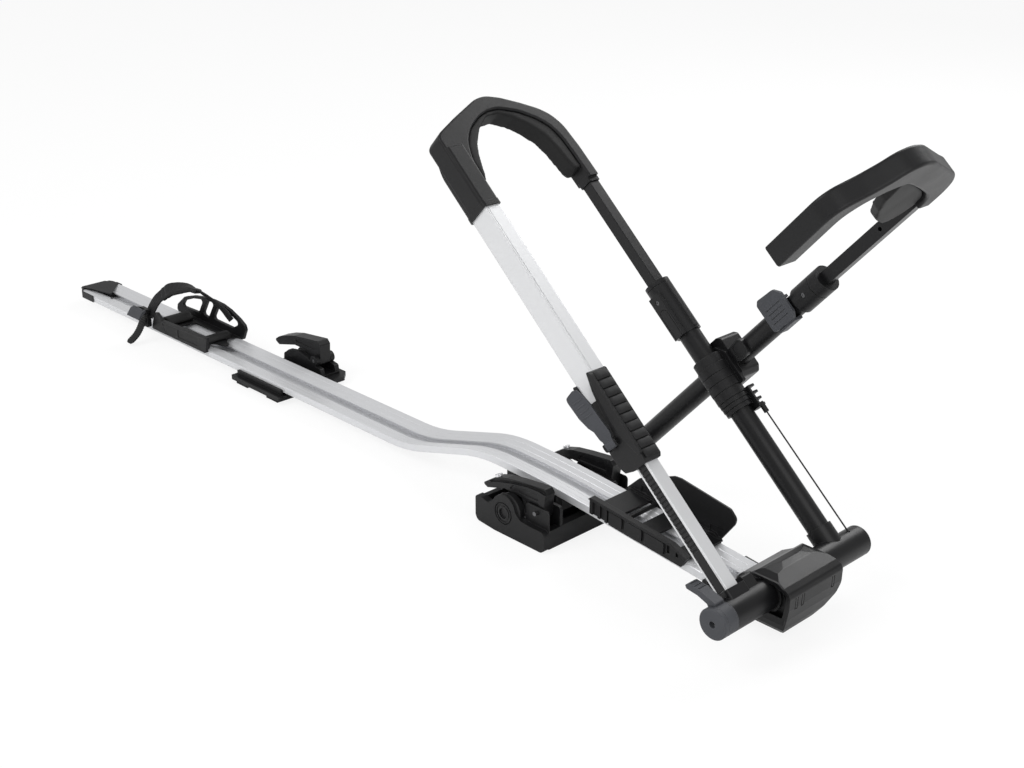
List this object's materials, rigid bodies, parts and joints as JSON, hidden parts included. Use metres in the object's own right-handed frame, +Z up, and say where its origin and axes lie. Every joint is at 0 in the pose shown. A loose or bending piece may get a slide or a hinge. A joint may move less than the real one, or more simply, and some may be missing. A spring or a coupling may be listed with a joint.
{
  "type": "roof mounted bike carrier",
  "caption": "Upright bike carrier for roof bars: silver tray, folding telescopic wheel hoop with ratchet handle, second hooked arm, clamping feet, cradle and strapped rear wheel holder.",
  "frame": {"origin": "on the plane of the load bars under the feet, at the middle of the tray, above the T-bolts of the front foot", "axes": "+X towards the hub and the front of the vehicle along the tray, +Y to the far side of the picture, +Z up from the load bars"},
  "size_m": [1.7196, 0.2834, 0.6025],
  "materials": {
    "tray_alloy": "silver anodised extrusion",
    "leg_alloy": "silver anodised profile",
    "rack_alloy": "bright toothed strip",
    "black_shell": "fine grained moulded shell",
    "black_satin": "satin moulded plastic",
    "black_tube": "black powder coat",
    "black_hood": "smooth satin hood",
    "grey_lever": "mid grey moulded plastic",
    "black_rubber": "matt rubber",
    "grip_rubber": "soft touch rubber",
    "strap_rubber": "flexible ladder strap",
    "steel": "zinc plated",
    "lock_chrome": "polished",
    "wire": "thin sheathed cable"
  },
  "bodies": {
    "base": {"tray": "tray_alloy", "rear_end_cap": "black_shell", "cap_screw": "steel", "front_foot_housing": "black_shell", "front_lever_pins": "steel", "boss_caps": "black_satin", "front_foot_pads": "black_rubber", "front_cradle": "black_shell", "hub_bracket": "black_shell", "bracket_screws": "steel", "hub_cover": "black_hood"},
    "rear_foot": {"rear_foot_plate": "black_shell", "rear_foot_housing": "black_shell", "rear_foot_pin": "steel", "rear_foot_pads": "black_rubber"},
    "rear_lever": {"rear_foot_lever": "black_satin"},
    "rear_bolts": {"rear_foot_bolts": "steel"},
    "wheel_holder": {"rear_wheel_holder": "black_shell", "saddle_humps": "black_rubber", "wheel_strap": "strap_rubber", "strap_sleeve": "strap_rubber", "buckle_body": "black_satin", "buckle_pin": "steel"},
    "buckle": {"buckle_lever": "grey_lever"},
    "lever_near": {"front_lever_near": "black_satin", "lock_core_near": "lock_chrome"},
    "lever_far": {"front_lever_far": "black_satin", "lock_core_far": "lock_chrome"},
    "bolt_near": {"front_bolt_near": "steel"},
    "bolt_far": {"front_bolt_far": "steel"},
    "legs": {"hub_tube": "black_tube", "hub_knob": "grey_lever", "hub_lock_screw": "steel", "hub_end_cap": "black_satin", "left_inner_profile": "leg_alloy", "ratchet_rack": "rack_alloy", "right_lower_tube": "black_tube", "coupler_sleeve": "black_satin", "coupler_screw": "steel", "arm_collar": "black_shell", "cable_ferrule": "black_satin", "release_cable": "wire"},
    "knob_latch": {"knob_lever": "grey_lever"},
    "hoop": {"left_outer_profile": "leg_alloy", "ratchet_handle": "black_shell", "handle_grip": "grip_rubber", "release_pin": "steel", "hoop_head": "black_shell", "hoop_pad": "black_rubber", "right_square_bar": "black_tube"},
    "release": {"release_lever": "grey_lever"},
    "rack_pawl": {"pawl": "steel"},
    "arm": {"arm_tube": "black_tube", "arm_knuckle": "black_satin", "arm_sleeve": "black_satin", "arm_screws": "steel"},
    "button": {"arm_button": "grey_lever"},
    "arm_top": {"arm_bar": "black_tube", "arm_head": "black_shell", "arm_inner_pad": "black_rubber"}
  },
  "joints": [
    {"name": "hoop_fold", "type": "hinge", "parent": "base", "child": "legs", "pos_m": [0.383, 0, 0.062], "axis": [0, -1, 0], "range_deg": [0, 38]},
    {"name": "knob_latch_turn", "type": "hinge", "parent": "legs", "child": "knob_latch", "pos_m": [0.383, -0.1275, 0.062], "axis": [0, 1, 0], "range_deg": [0, 30], "stiffness_Nm_per_rad": 0.12, "springref_deg": -5.73},
    {"name": "hoop_extend", "type": "slide", "parent": "legs", "child": "hoop", "axis": [-0.7431, 0, 0.6691], "range_m": [-0.1, 0.03]},
    {"name": "release_press", "type": "hinge", "parent": "hoop", "child": "release", "pos_m": [0.20012, -0.1143, 0.21159], "axis": [-0.6064, -0.4226, -0.6735], "range_deg": [0, 8], "stiffness_Nm_per_rad": 0.25, "springref_deg": -5.73},
    {"name": "pawl_lift", "type": "slide", "parent": "hoop", "child": "rack_pawl", "axis": [0, -1, 0], "range_m": [0, 0.0015]},
    {"name": "arm_fold", "type": "hinge", "parent": "legs", "child": "arm", "pos_m": [0.18384, 0.1216, 0.24133], "axis": [0, -1, 0], "range_deg": [0, 52]},
    {"name": "arm_button_press", "type": "slide", "parent": "arm", "child": "button", "axis": [0, 1, 0], "range_m": [0, 0.0025], "stiffness_N_per_m": 600, "springref_m": -0.002},
    {"name": "arm_extend", "type": "slide", "parent": "arm", "child": "arm_top", "axis": [0.6691, 0, 0.7431], "range_m": [-0.1, 0]},
    {"name": "front_lever_near_open", "type": "hinge", "parent": "base", "child": "lever_near", "pos_m": [0.041, -0.065, 0.048], "axis": [0, 1, 0], "range_deg": [0, 80]},
    {"name": "front_lever_far_open", "type": "hinge", "parent": "base", "child": "lever_far", "pos_m": [0.041, 0.065, 0.048], "axis": [0, 1, 0], "range_deg": [0, 80]},
    {"name": "front_bolt_near_drop", "type": "slide", "parent": "base", "child": "bolt_near", "axis": [0, 0, -1], "range_m": [0, 0.004]},
    {"name": "front_bolt_far_drop", "type": "slide", "parent": "base", "child": "bolt_far", "axis": [0, 0, -1], "range_m": [0, 0.004]},
    {"name": "rear_foot_slide", "type": "slide", "parent": "base", "child": "rear_foot", "axis": [1, 0, 0], "range_m": [-0.12, 0.15]},
    {"name": "rear_lever_open", "type": "hinge", "parent": "rear_foot", "child": "rear_lever", "pos_m": [-0.597, 0.067, 0.038], "axis": [0, 1, 0], "range_deg": [0, 80]},
    {"name": "rear_bolts_drop", "type": "slide", "parent": "rear_foot", "child": "rear_bolts", "axis": [0, 0, -1], "range_m": [0, 0.0035]},
    {"name": "wheel_holder_slide", "type": "slide", "parent": "base", "child": "wheel_holder", "axis": [1, 0, 0], "range_m": [-0.15, 0.2]},
    {"name": "buckle_open", "type": "hinge", "parent": "wheel_holder", "child": "buckle", "pos_m": [-0.951, -0.0526, 0.057], "axis": [-1, 0, 0], "range_deg": [0, 60]}
  ],
  "couplings": [
    {"joint": "pawl_lift", "follows": "release_press", "m_per_rad": 0.010732},
    {"joint": "front_bolt_near_drop", "follows": "front_lever_near_open", "m_per_rad": 0.002836},
    {"joint": "front_bolt_far_drop", "follows": "front_lever_far_open", "m_per_rad": 0.002836},
    {"joint": "rear_bolts_drop", "follows": "rear_lever_open", "m_per_rad": 0.002482}
  ]
}
